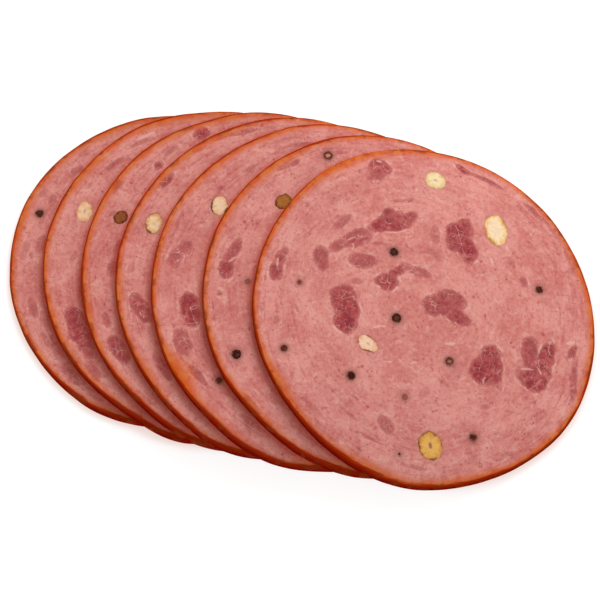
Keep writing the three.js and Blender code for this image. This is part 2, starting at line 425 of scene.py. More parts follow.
# Pale flecks of fat that stand out from the finer threads
FLECKS: dict[int, list[Oval]] = {
    2: [Oval(-33.5, 38.2, 4.0, 0.5, 38), Oval(-44.2, 29.2, 3.2, 0.4, 48)],
    4: [Oval(-43.4, -22.8, 2.4, 0.3, 150), Oval(-44.8, -19.6, 1.6, 0.25, 100)],
    5: [Oval(-48.8, 0.2, 1.8, 0.3, 150), Oval(-48.0, -2.6, 1.9, 0.25, 60), Oval(-50.4, -1.0, 1.4, 0.25, 20),
        Oval(-46.6, -0.6, 1.4, 0.25, 100), Oval(-40.6, -17.4, 2.4, 0.25, 110),
        Oval(-39.6, -28.4, 1.8, 0.25, 120)],
    6: [Oval(-46.6, -0.2, 1.8, 0.35, 45)],
    7: [Oval(-12.6, -10.6, 2.4, 0.3, 30), Oval(9.8, -8.8, 1.8, 0.5, 36), Oval(-4.0, -18.6, 2.8, 0.25, 156),
        Oval(16.4, 22.4, 1.2, 0.5, 120), Oval(-11.7, 37.8, 0.9, 0.5, 20), Oval(20.0, 28.6, 1.0, 0.5, 120),
        Oval(46.4, 4.4, 1.6, 0.7, 30), Oval(-25.4, 43.2, 0.8, 0.5, 10), Oval(-27.4, 14.8, 1.6, 0.3, 40),
        Oval(-26.8, 12.2, 1.5, 0.3, 95), Oval(-16.4, 20.6, 3.2, 0.3, 18), Oval(5.2, 20.2, 1.0, 0.3, 160),
        Oval(34.8, -8.4, 2.2, 0.4, 20), Oval(38.6, -7.6, 1.8, 0.4, 130), Oval(37.4, -0.6, 2.6, 0.35, 86),
        Oval(-16.0, 1.8, 0.7, 0.5, 0), Oval(28.8, -17.0, 1.8, 0.3, 100), Oval(0.4, -18.0, 1.6, 0.3, 20),
        Oval(-7.5, -20.5, 1.8, 0.3, 10), Oval(-47.9, 1.4, 1.6, 0.3, 95), Oval(22.6, -16.0, 1.4, 0.3, 80)],
}
# How much further than its round shape each slice's rim reaches
SWELLS: dict[int, list[Spot]] = {
    1: [Spot(-100, 24, 1.0), Spot(168, 24, 0.8)],
    2: [Spot(-84, 17, 3.2), Spot(108, 14, -0.8)],
    3: [Spot(-94, 18, 2.8), Spot(120, 12, -0.7)],
    4: [Spot(-100, 17, 2.5), Spot(84, 18, 1.0)],
    5: [Spot(-98, 18, 1.7), Spot(86, 22, 1.5)],
    6: [Spot(-88, 20, 1.4), Spot(88, 24, 1.7)],
    7: [Spot(-20, 30, 1.3), Spot(-88, 18, 0.7), Spot(82, 22, 2.1), Spot(52, 12, 0.4)],
}
# How much further in the smoke's stain reaches
BLEEDS: dict[int, list[Spot]] = {
    1: [Spot(178, 10, 2.0), Spot(130, 30, 0.8)],
    2: [Spot(160, 16, 1.4), Spot(215, 10, 0.8), Spot(125, 20, 1.2)],
    3: [Spot(155, 14, 1.2), Spot(198, 12, 0.8), Spot(125, 16, 1.0)],
    4: [Spot(140, 20, 1.4), Spot(228, 8, 1.0)],
    5: [Spot(226, 8, 5.6), Spot(136, 18, 1.2), Spot(246, 12, 1.4)],
    6: [Spot(140, 24, 1.0), Spot(236, 20, 1.0)],
    7: [Spot(137, 16, 1.3), Spot(222, 9, 2.0), Spot(105, 18, 0.6), Spot(264, 18, 1.5), Spot(302, 10, 0.9)],
}
# How much further in the smoke's dark edge reaches. The large reach on the near side, a little to the left,
# is painted shade
CRUST_AND_SHADE: dict[int, list[Spot]] = {number: [Spot(258, 30, 1.0), Spot(125, 22, 0.25)] for number in range(1, 7)}
CRUST_AND_SHADE[7] = [Spot(258, 30, 1.0), Spot(138, 32, -0.45)]


# ---------------------------------------------------------------------------------------------
# Slices
# ---------------------------------------------------------------------------------------------


@dataclass(frozen=True)
class Seat:
    """Where a nut or peppercorn sits in its slice, in the slice's own frame."""

    name: str
    x: float
    y: float
    half_length: float
    half_width: float
    turn: float

    def distance(self, x: Array, y: Array) -> Array:
        """Distance out from the middle as a share of the way to the seat's own edge."""
        along, beside = turned(x - self.x, y - self.y, -self.turn)
        return np.hypot(along / self.half_length, beside / self.half_width)


@dataclass
class HamSlice:
    """One slice: a round disc with a softened smoked rim, draped over the slices below it.

    Attributes:
        number: 1 for the lowest.
        x: Centre along the fan.
        y: Centre across the fan.
        radius: Half its diameter.
        thickness: From cut face to cut face.
        lower: The slices below it.
        upper: The slices above it.
        seats: What is set in it.
        rings: How many rings its upper cut face has.
        segments: Points in a ring.
        pitch: Height that each slice adds to the fan.
        drape_reach: How far beyond a lower slice's edge it takes to come down.
        shoulder: How far the rounding of the rim reaches in over the upper face.
        rounding: How far it reaches down the wall.
        fill: How much of the gap to its neighbours the slice's uneven faces take up.
        groove: How deep the groove round a nut is.
        farthest: The most that a place's distance to the slices above counts for.
    """

    number: int
    x: float
    y: float
    radius: float
    thickness: float
    lower: list["HamSlice"]
    upper: list["HamSlice"] = field(default_factory=list)
    seats: list[Seat] = field(default_factory=list)
    rings: int = 84
    segments: int = 560
    pitch: float = 3.85
    drape_reach: float = 24.0
    shoulder: float = 0.9
    rounding: float = 0.8
    fill: float = 0.2
    groove: float = 0.22
    farthest: float = 60.0

    def underside(self, x: Array, y: Array) -> Array:
        """Height of the underside over a place in the slice's own frame.

        One pitch for each lower slice, which fades along 3u^2 - 2u^3 over the drape's reach beyond
        that slice's edge.
        """
        height = np.zeros_like(x)
        for below in self.lower:
            beyond = np.hypot(x + self.x - below.x, y + self.y - below.y) - below.radius
            height = height + self.pitch * (1.0 - smoothstep(beyond, 0.0, self.drape_reach))
        return height

    def lift(self, upper: Array | float) -> Array | float:
        """How far a face moves to take up its share of the gap. Upper is 0 below and 1 above."""
        return self.fill * (0.5 * upper if self.number == 1 else upper - 0.5)

    def swell(self, x: Array, y: Array) -> Array:
        """Low swells of the upper cut face: broad ones and fine ones."""
        return hills(x, y, FACE_WAVES, self.number)

    def upper_face(self, x: Array, y: Array) -> Array:
        """Height of the upper cut face over a place in the slice's own frame."""
        return self.underside(x, y) + self.thickness + self.lift(1.0) + self.swell(x, y)

    def uncovered(self, x: Array, y: Array) -> Array:
        """Distance from a place in the slice's own frame to the rim of the nearest slice above it."""
        nearest = np.full_like(x, self.farthest)
        for above in self.upper:
            across, along = y + self.y - above.y, x + self.x - above.x
            edge = above.radius + above.outline(np.arctan2(across, along))
            nearest = np.minimum(nearest, np.hypot(along, across) - edge)
        return np.maximum(nearest, 0.0)

    def outline(self, angle: Array) -> Array:
        """How far the rim strays from a circle at each heading: its swells and a few slow ripples."""
        rng = np.random.default_rng(100 + self.number)
        stray = round_the_rim(angle, SWELLS[self.number])
        for ripples in (5, 8, 13, 21, 34, 55):
            height, phase = rng.uniform(0.3, 0.7) / ripples, rng.uniform(0, 6.28)
            stray = stray + height * np.sin(ripples * angle + phase)
        return stray

    def profile(self) -> tuple[Array, Array, Array]:
        """Half a slice's section, from the middle of its upper face round the rim to its underside.

        The shoulder is a quarter of an ellipse, the wall is straight, and a quarter circle leads to
        the underside.

        Returns:
            For each ring the share of the way from the centre (1 on the rim), the distance in from
            the outline, and the height over the underside.
        """
        flat = np.linspace(0.0, 1.0, self.rings + 1)[1:]
        turn = np.linspace(0.0, math.pi / 2, 8)[1:]
        wall = np.linspace(self.thickness - self.rounding, self.rounding, 7)[1:-1]
        low_turn = np.linspace(0.0, math.pi / 2, 6)
        back = 1.0 - np.linspace(0.0, 1.0, 28)[1:-1] ** 1.7
        inset = np.concatenate([np.full(len(flat), self.shoulder), self.shoulder * (1.0 - np.sin(turn)),
                                np.zeros(len(wall)), self.rounding * (1.0 - np.cos(low_turn)),
                                np.full(len(back), self.rounding)])
        height = np.concatenate([np.full(len(flat), self.thickness),
                                 self.thickness - self.rounding * (1.0 - np.cos(turn)), wall,
                                 self.rounding * (1.0 - np.sin(low_turn)), np.zeros(len(back))])
        share = np.concatenate([flat, np.ones(len(inset) - len(flat) - len(back)), back])
        return share, inset, height

    def build(self) -> bpy.types.Object:
        """Makes the slice's mesh, with what its finish reads stored at its points.

        A point is at the outline's radius less the inset, times the share, and its height is the
        underside's over that place plus the profile's. The upper face has its swells, and a shallow
        groove round each nut.

        Returns:
            The slice.
        """
        share, inset, height = (values[:, None] for values in self.profile())
        angle = headings(self.segments)
        edge = self.radius + self.outline(angle)
        distance = (edge - inset) * share
        x, y = distance * np.cos(angle), distance * np.sin(angle)
        upper = height / self.thickness
        relief = self.swell(x, y)
        for seat in self.seats:
            if seat.name in NUTS:
                relief = relief - self.groove * (1.0 - smoothstep(seat.distance(x, y), 0.84, 1.0))
        z = self.underside(x, y) + height + self.lift(upper) + relief * upper
        middle = self.underside(np.zeros(1), np.zeros(1))[0]
        top = self.upper_face(np.zeros(1), np.zeros(1))[0]
        inward = edge - distance
        below_top = self.thickness - height
        on_face = inward - self.thickness * (1.0 - smoothstep(inward, 0.0, 1.6))
        skin = np.where(height <= 0.0, on_face, inward - 1.1 * below_top)
        poles = [[self.x, self.y, top], [self.x, self.y, middle + self.lift(0.0)]]
        return ring_piece(f"ham_slice_{self.number}", x + self.x, y + self.y, z, poles,
                          self.fields(x, y, z, skin, below_top))

    def fields(self, x: Array, y: Array, z: Array, skin: Array, below_top: Array) -> dict[str, Array]:
        """What the finish reads at each point of the slice.

        Args:
            x: Places along the fan in the slice's own frame.
            y: Places across it.
            z: Heights.
            skin: Distance in from the rim, or minus the distance down its wall.
            below_top: How far each ring is below the upper face.

        Returns:
            grain: the place in the slice's own frame. flow: the same, drawn out round the centre.
            lean, tone: distance in from the edge of the nearest lean piece, and how dark it is.
            fleck: the same distance for the pale flecks. skin: as given. bleed: how far the smoke
                reaches in. crust: how far its dark edge does, with painted shade on the near side. stain:
                    dark
                breath round the peppercorns, and painted shade round the nuts. bare: distance from the slices
                above, which sets a painted reddish shade beside their rims.
            bare: distance from the slices above.
        """
        x, y, z = (np.concatenate([[first], values.ravel(), [last]])
                   for first, values, last in ((0.0, x, 0.0), (0.0, y, 0.0), (z[0, 0], z, z[-1, 0])))
        lean, tone, fleck = self.pieces_of_meat(x, y)
        angle, radius = np.arctan2(y, x), np.hypot(x, y)
        drop = np.broadcast_to(below_top, (len(below_top), self.segments)).ravel()
        run = radius + np.concatenate([[0.0], drop, [self.thickness]])
        flow = np.stack([15.0 * np.cos(angle), 15.0 * np.sin(angle), 2.4 * run + 40.0 * self.number], axis=-1)
        grain = np.stack([x, y, z + SLICE_STRIDE * self.number], axis=-1)
        skin = np.concatenate([[self.radius], skin.ravel(), [self.radius]])
        bleed, crust = self.smoke_reach(angle)
        return {"grain": grain, "flow": flow, "lean": lean, "tone": tone, "fleck": fleck, "skin": skin,
                "bleed": bleed, "stain": self.stained(x, y), "crust": crust, "bare": self.uncovered(x, y)}

    def pieces_of_meat(self, x: Array, y: Array) -> tuple[Array, Array, Array]:
        """Where the lean pieces and pale flecks are, with wavy edges.

        The lean ovals run into one another: their depths are added as softened powers, and their
        tones are weighted the same way.

        Args:
            x: Places along the fan in the slice's own frame.
            y: Places across it.

        Returns:
            The depth inside the lean, its tone, and the depth inside a fleck.
        """
        seed, softness, shallowest, deepest = 10 * self.number, 0.6, -2.0, 4.0
        warped = x + hills(x, y, WARP_ALONG, seed), y + hills(x, y, WARP_ACROSS, seed)
        weight, sum_of_tones = np.full_like(x, 1e-6), np.zeros_like(x)
        for piece in LEAN[self.number]:
            share = np.exp(np.clip(piece.inside(*warped), -6.0, 6.0) / softness)
            weight, sum_of_tones = weight + share, sum_of_tones + share * piece.tone
        fleck = np.full_like(x, shallowest)
        for piece in FLECKS.get(self.number, []):
            fleck = np.maximum(fleck, piece.inside(*warped))
        lean = np.clip(softness * np.log(weight), -deepest, deepest)
        return lean, sum_of_tones / weight, fleck

    def smoke_reach(self, angle: Array) -> tuple[Array, Array]:
        """How far in the smoke's stain reaches at each heading, and how far its dark edge does, with painted
        shade added on the near side.
        """
        number = self.number
        bleed = 2.15 + 0.2 * np.sin(3 * angle + number) + 0.2 * np.sin(11 * angle + 2 * number)
        bleed = bleed + 0.7 * round_the_rim(angle, BLEEDS[number])
        return bleed, 0.35 + 0.15 * np.sin(7 * angle + 3 * number) + round_the_rim(angle, CRUST_AND_SHADE[number])

    def stained(self, x: Array, y: Array) -> Array:
        """Dark breath that fades away from each peppercorn, and a little painted shade that fades away from
        each nut.
        """
        stain = np.zeros_like(x)
        for seat in self.seats:
            # Round a nut this is a weak, narrow painted shade; round a peppercorn it is its own stronger
            # breath
            strength, reach = 0.25, 0.3
            if seat.name in CORNS:
                strength, reach = min(1.0, 1.4 * CORNS[seat.name].fade), 0.6
            beyond = np.maximum(seat.distance(x, y) - 1.0, 0.0) * seat.half_width
            stain = np.maximum(stain, strength * np.exp(-beyond / reach))
        return stain


# ---------------------------------------------------------------------------------------------
# Nuts and peppercorns
# ---------------------------------------------------------------------------------------------


def letter_seed(name: str) -> int:
    """A seed from a piece's name: the sum of its letters' numbers."""
    return sum(ord(letter) for letter in name)


def set_piece(name: str, seat: Seat, host: HamSlice, rings: tuple[Array, Array, Array], radial: Array,
              **fields: Array) -> bpy.types.Object:
    """Makes a small closed piece in a slice from its rings.

    Args:
        name: Name of the piece.
        seat: Where it sits.
        host: The slice that it is set in.
        rings: First and second coordinates in the slice's own frame, and heights.
        radial: How far out each ring is, as a share.
        fields: More values at the points, with the poles.

    Returns:
        The piece, with its place stored as grain.
    """
    x, y, z = rings
    centre = (seat.x + host.x, seat.y + host.y)
    poles = [[*centre, z[0].mean()], [*centre, z[-1].mean()]]
    place = np.stack([x, y, z + PIECE_STRIDE * letter_seed(name)], axis=-1).reshape(-1, 3)
    fields["radial"] = np.concatenate([[0.0], np.broadcast_to(radial, x.shape).ravel(), [0.0]])
    fields["grain"] = np.concatenate([place[:1], place, place[-1:]])
    return ring_piece(name, x + host.x, y + host.y, z, poles, fields)


@dataclass
class KernelPlug:
    """A pistachio kernel cut by the knife on both faces: a slightly lumpy oval plug."""

    name: str
    seat: Seat
    host: HamSlice
    nut: Nut
    proud: float = 0.08
    edge_drop: float = 0.2
    rings: int = 30
    segments: int = 120

    def build(self) -> bpy.types.Object:
        """Makes the kernel.

        The outline is an ellipse with five to nine low lobes, narrower towards one end by the taper.
        From the middle of the upper face the rings run out to a rounded edge, down the side and back
        in below. The slit is a groove along the middle, deepest in its centre.

        Returns:
            The kernel.
        """
        seed, seat = letter_seed(self.name), self.seat
        rng = np.random.default_rng(seed)
        angle = headings(self.segments)
        lobes = np.ones_like(angle)
        for count in (5, 6, 7, 9, 13):
            height, phase = rng.uniform(0.05, 0.14) / count, rng.uniform(0, 6.28)
            lobes = lobes + height * np.sin(count * angle + phase)
        out = np.sin(np.linspace(0.0, math.pi / 2, self.rings + 1)[1:])
        share = np.concatenate([out, [1.0, 1.0, 1.0], out[::-1]])[:, None]
        level = np.concatenate([np.ones(self.rings), [0.75, 0.5, 0.25], np.zeros(self.rings)])[:, None]
        along = seat.half_length * share * lobes * np.cos(angle)
        beside = seat.half_width * share * lobes * np.sin(angle)
        beside = beside * (1.0 - self.nut.taper * along / seat.half_length)
        x, y = turned(along, beside, seat.turn)
        x, y = x + seat.x, y + seat.y
        groove = np.exp(-(beside / (0.24 + 0.4 * self.nut.slit)) ** 2)
        groove = groove * (1.0 - smoothstep(np.abs(along) / seat.half_length, 0.05, 0.27))
        rounding = self.edge_drop * (1.0 - np.sqrt(np.clip(1.0 - share ** 10, 0.0, 1.0)))
        lumps = hills(x, y, KERNEL_LUMPS, seed)
        top = self.host.upper_face(x, y) + self.proud + lumps - rounding - self.nut.slit * groove
        bottom = self.host.underside(x, y) + self.host.lift(0.0) + rounding
        z = bottom + (top - bottom) * level
        # Where the slit's painted shade goes: along the groove, on the upper face
        slit = np.concatenate([[1.0], (groove * level).ravel(), [0.0]]) * min(1.0, 6.0 * self.nut.slit)
        around = np.arctan2(beside, along)
        spoke = np.stack([2.2 * np.cos(around), 2.2 * np.sin(around), 0.5 * share + 0.0 * around], axis=-1)
        first, last = (ring.mean(axis=0)[None] for ring in (spoke[0], spoke[-1]))
        spoke = np.concatenate([first, spoke.reshape(-1, 3), last]) + seed
        return set_piece(self.name, seat, self.host, (x, y, z), share, slit=slit, spoke=spoke)


@dataclass
class CutCorn:
    """A peppercorn: a wrinkled ball whose top the knife took off."""

    name: str
    seat: Seat
    host: HamSlice
    corn: Corn
    sink: float = 0.5
    proud: float = 0.12
    rings: int = 30
    segments: int = 60

    def build(self) -> bpy.types.Object:
        """Makes the peppercorn.

        A ball of rings from the top pole to the bottom one, pushed in and out by wrinkles, then
        flattened where it would stand above the cut face, with a small hollow in the middle.

        Returns:
            The peppercorn.
        """
        seed, radius = letter_seed(self.name), self.seat.half_length
        polar = np.linspace(0.0, math.pi, self.rings + 2)[1:-1, None]
        angle = headings(self.segments)
        wrinkle = 0.03 * np.sin(3 * angle + seed)
        wrinkle = wrinkle + 0.022 * np.sin(5 * angle + 2 * np.cos(4 * polar) + 2 * seed)
        wrinkle = wrinkle + 0.018 * np.sin(8 * angle + 5 * polar + seed)
        size = radius * (0.97 + wrinkle * np.sin(polar) + 0.02 * np.sin(9 * polar))
        x = self.seat.x + size * np.sin(polar) * np.cos(angle)
        y = self.seat.y + size * np.sin(polar) * np.sin(angle)
        cut_share = math.sqrt(1.0 - min(0.9, (self.sink + self.proud) / radius) ** 2)
        radial = np.sin(polar) / cut_share
        hollow = 0.05 * (1.0 - smoothstep(radial, 0.3, 0.7)) - 0.02 * waves(x, y, 0.9, seed)
        z = self.host.upper_face(x, y) + np.minimum(size * np.cos(polar) - self.sink, self.proud - hollow)
        return set_piece(self.name, self.seat, self.host, (x, y, z), radial)


# ---------------------------------------------------------------------------------------------
# Node building
# ---------------------------------------------------------------------------------------------

Value = bpy.types.NodeSocket | float | Sequence[float]


class Graph:
    """A short way to write a shader's nodes. A number or colour in place of a socket sets its value."""

    def __init__(self, tree: bpy.types.NodeTree) -> None:
        """Works on one node tree."""
        self.tree = tree

    def node(self, kind: str, **settings: object) -> bpy.types.Node:
        """Adds a node and sets its properties."""
        node = self.tree.nodes.new(kind)
        for name, value in settings.items():
            setattr(node, name, value)
        return node

    def feed(self, socket: bpy.types.NodeSocket, value: Value) -> None:
        """Links a socket to an input, or sets the input's own value."""
        if isinstance(value, bpy.types.NodeSocket):
            self.tree.links.new(value, socket)
        else:
            socket.default_value = value

    def fill(self, node: bpy.types.Node, values: dict[str, Value]) -> None:
        """Feeds a node's inputs by name."""
        for name, value in values.items():
            self.feed(node.inputs[name], value)

    def math(self, operation: str, first: Value, second: Value, third: Value = 0.0) -> bpy.types.NodeSocket:
        """Adds a Math node."""
        node = self.node("ShaderNodeMath", operation=operation)
        for socket, value in zip(node.inputs, (first, second, third)):
            self.feed(socket, value)
        return node.outputs[0]

    def scaled(self, value: Value, factor: float, middle: float = 0.0) -> bpy.types.NodeSocket:
        """Gives (value - middle) times factor."""
        return self.math("MULTIPLY_ADD", value, factor, -middle * factor)

    def step(self, value: Value, low: float, high: float, start: float = 0.0, end: float = 1.0
             ) -> bpy.types.NodeSocket:
        """Goes smoothly from start at low to end at high."""
        node = self.node("ShaderNodeMapRange", interpolation_type="SMOOTHSTEP")
        for socket, given in zip(node.inputs[:5], (value, low, high, start, end)):
            self.feed(socket, given)
        return node.outputs[0]

    def mix(self, share: Value, first: Value, second: Value) -> bpy.types.NodeSocket:
        """Mixes two colours."""
        node = self.node("ShaderNodeMix", data_type="RGBA")
        for socket, value in zip((node.inputs["Factor"], *node.inputs[6:8]), (share, first, second)):
            self.feed(socket, value)
        return node.outputs[2]

    def tinge(self, colour: Value, other: Value, value: Value, low: float, high: float, most: float = 1.0
              ) -> bpy.types.NodeSocket:
        """Mixes another colour in where a value goes from low to high, by at most the given share."""
        return self.mix(self.step(value, low, high, 0.0, most), colour, other)

    def noise(self, place: Value, scale: Value, detail: float = 2.0, roughness: float = 0.5,
              distortion: float = 0.0) -> bpy.types.NodeSocket:
        """Adds a noise texture and gives its value, about 0.3 to 0.7."""
        node = self.node("ShaderNodeTexNoise")
        self.fill(node, {"Vector": place, "Scale": scale, "Detail": detail, "Roughness": roughness,
                         "Distortion": distortion})
        return node.outputs["Fac"]

    def cells(self, place: Value, scale: Value, feature: str = "F1") -> bpy.types.Node:
        """Adds a Voronoi texture."""
        node = self.node("ShaderNodeTexVoronoi", feature=feature)
        self.fill(node, {"Vector": place, "Scale": scale})
        return node

    def stored(self, name: str, output: str = "Fac") -> bpy.types.NodeSocket:
        """Reads a number, or with output Vector a place, that is stored at the piece's points."""
        return self.node("ShaderNodeAttribute", attribute_name=name).outputs[output]

    def shift(self, place: Value, offset: Sequence[float]) -> bpy.types.NodeSocket:
        """Moves a place, so that two patterns made from it don't line up."""
        node = self.node("ShaderNodeVectorMath", operation="ADD")
        self.feed(node.inputs[0], place)
        node.inputs[1].default_value = offset
        return node.outputs[0]

    def bump(self, height: Value, distance: float, strength: float) -> bpy.types.NodeSocket:
        """Turns a height into a normal. Distance is in millimetres."""
        node = self.node("ShaderNodeBump")
        self.fill(node, {"Strength": strength, "Distance": distance * METRES, "Height": height})
        return node.outputs["Normal"]

    def place_group(self, group: bpy.types.NodeTree, **inputs: Value) -> bpy.types.Node:
        """Places a shared group and feeds its inputs by name."""
        node = self.node("ShaderNodeGroup", node_tree=group)
        self.fill(node, inputs)
        return node


def new_group(name: str, inputs: Sequence[str], output: str) -> tuple[Graph, bpy.types.Node, bpy.types.Node]:
    """Starts a shared node group whose Place is a vector and whose other sockets are numbers.

    Args:
        name: Name of the group.
        inputs: Names of its inputs.
        output: Name of its output.

    Returns:
        The group's graph, its input node and its output node.
    """
    tree = bpy.data.node_groups.new(name, "ShaderNodeTree")
    for side, labels in (("INPUT", inputs), ("OUTPUT", (output,))):
        for label in labels:
            kind = "NodeSocketVector" if label == "Place" else "NodeSocketFloat"
            tree.interface.new_socket(name=label, in_out=side, socket_type=kind)
    graph = Graph(tree)
    return graph, graph.node("NodeGroupInput"), graph.node("NodeGroupOutput")


def speck_group() -> bpy.types.NodeTree:
    """Scattered dots: in those Voronoi cells whose random number is under Share, one ragged soft dot.

    Returns:
        A group that takes Place, Scale, Size and Share and gives a Mask.
    """
    graph, given, out = new_group("scattered_specks", ("Place", "Scale", "Size", "Share"), "Mask")
    cells = graph.cells(given.outputs["Place"], given.outputs["Scale"])
    pick = graph.node("ShaderNodeSeparateColor")
    graph.feed(pick.inputs[0], cells.outputs["Color"])
    chosen = graph.math("LESS_THAN", pick.outputs[0], given.outputs["Share"])
    size = graph.math("MULTIPLY", given.outputs["Size"], graph.math("ADD", pick.outputs[1], 0.4))
    uneven = graph.scaled(graph.noise(given.outputs["Place"], 2.2), 0.12, 0.5)
    ragged = graph.math("ADD", cells.outputs["Distance"], uneven)
    mask = graph.step(graph.math("DIVIDE", ragged, size), 0.35, 1.0, 1.0, 0.0)
    graph.feed(out.inputs["Mask"], graph.math("MULTIPLY", chosen, mask))
    return graph.tree


def grain_group() -> bpy.types.NodeTree:
    """Uneven grain: a coarse noise and a fine one, added.

    Returns:
        A group that takes Place, Scale and Fineness and gives a Value of about -0.3 to 0.3.
    """
    graph, given, out = new_group("uneven_grain", ("Place", "Scale", "Fineness"), "Value")
    coarse = graph.noise(given.outputs["Place"], given.outputs["Scale"], 3.0, 0.55)
    scale = graph.math("MULTIPLY", given.outputs["Scale"], given.outputs["Fineness"])
    fine = graph.noise(given.outputs["Place"], scale, 2.0, 0.6)
    graph.feed(out.inputs["Value"], graph.math("MULTIPLY_ADD", fine, 0.6, graph.math("ADD", coarse, -0.8)))
    return graph.tree


def web_group() -> bpy.types.NodeTree:
    """A broken web of thin threads: the borders of bent Voronoi cells, only where a slow noise is high.

    Returns:
        A group that takes Place, Scale, Width and Cover and gives a Mask.
    """
    graph, given, out = new_group("broken_web", ("Place", "Scale", "Width", "Cover"), "Mask")
    place = given.outputs["Place"]
    bend = graph.node("ShaderNodeTexNoise")
    graph.fill(bend, {"Vector": place, "Scale": given.outputs["Scale"]})
    bent = graph.node("ShaderNodeVectorMath", operation="MULTIPLY_ADD")
    graph.feed(bent.inputs[0], bend.outputs["Color"])
    bent.inputs[1].default_value = (2.6, 2.6, 2.6)
    graph.feed(bent.inputs[2], place)
    cells = graph.cells(bent.outputs[0], given.outputs["Scale"], "DISTANCE_TO_EDGE")
    nearness = graph.math("DIVIDE", cells.outputs["Distance"], given.outputs["Width"])
    line = graph.step(nearness, 0.2, 1.0, 1.0, 0.0)
    slower = graph.math("MULTIPLY", given.outputs["Scale"], 0.9)
    slow = graph.noise(graph.shift(place, (1.0, 7.0, 5.0)), slower)
    shown = graph.step(graph.math("ADD", slow, given.outputs["Cover"]), 0.92, 1.12)
    graph.feed(out.inputs["Mask"], graph.math("MULTIPLY", line, shown))
    return graph.tree


@dataclass(frozen=True)
class SharedGroups:
    """The node groups that several finishes use."""

    specks: bpy.types.NodeTree
    grain: bpy.types.NodeTree
    web: bpy.types.NodeTree


def new_material(name: str, plain: Colour) -> tuple[bpy.types.Material, Graph, bpy.types.Node]:
    """Starts a material with a Principled surface.

    Args:
        name: Name of the material.
        plain: Colour shown outside renders.

    Returns:
        The material, its graph and its surface node.
    """
    material = bpy.data.materials.new(name)
    material.use_nodes = True
    material.diffuse_color = plain
    return material, Graph(material.node_tree), material.node_tree.nodes["Principled BSDF"]


# ---------------------------------------------------------------------------------------------
# Finishes
# ---------------------------------------------------------------------------------------------


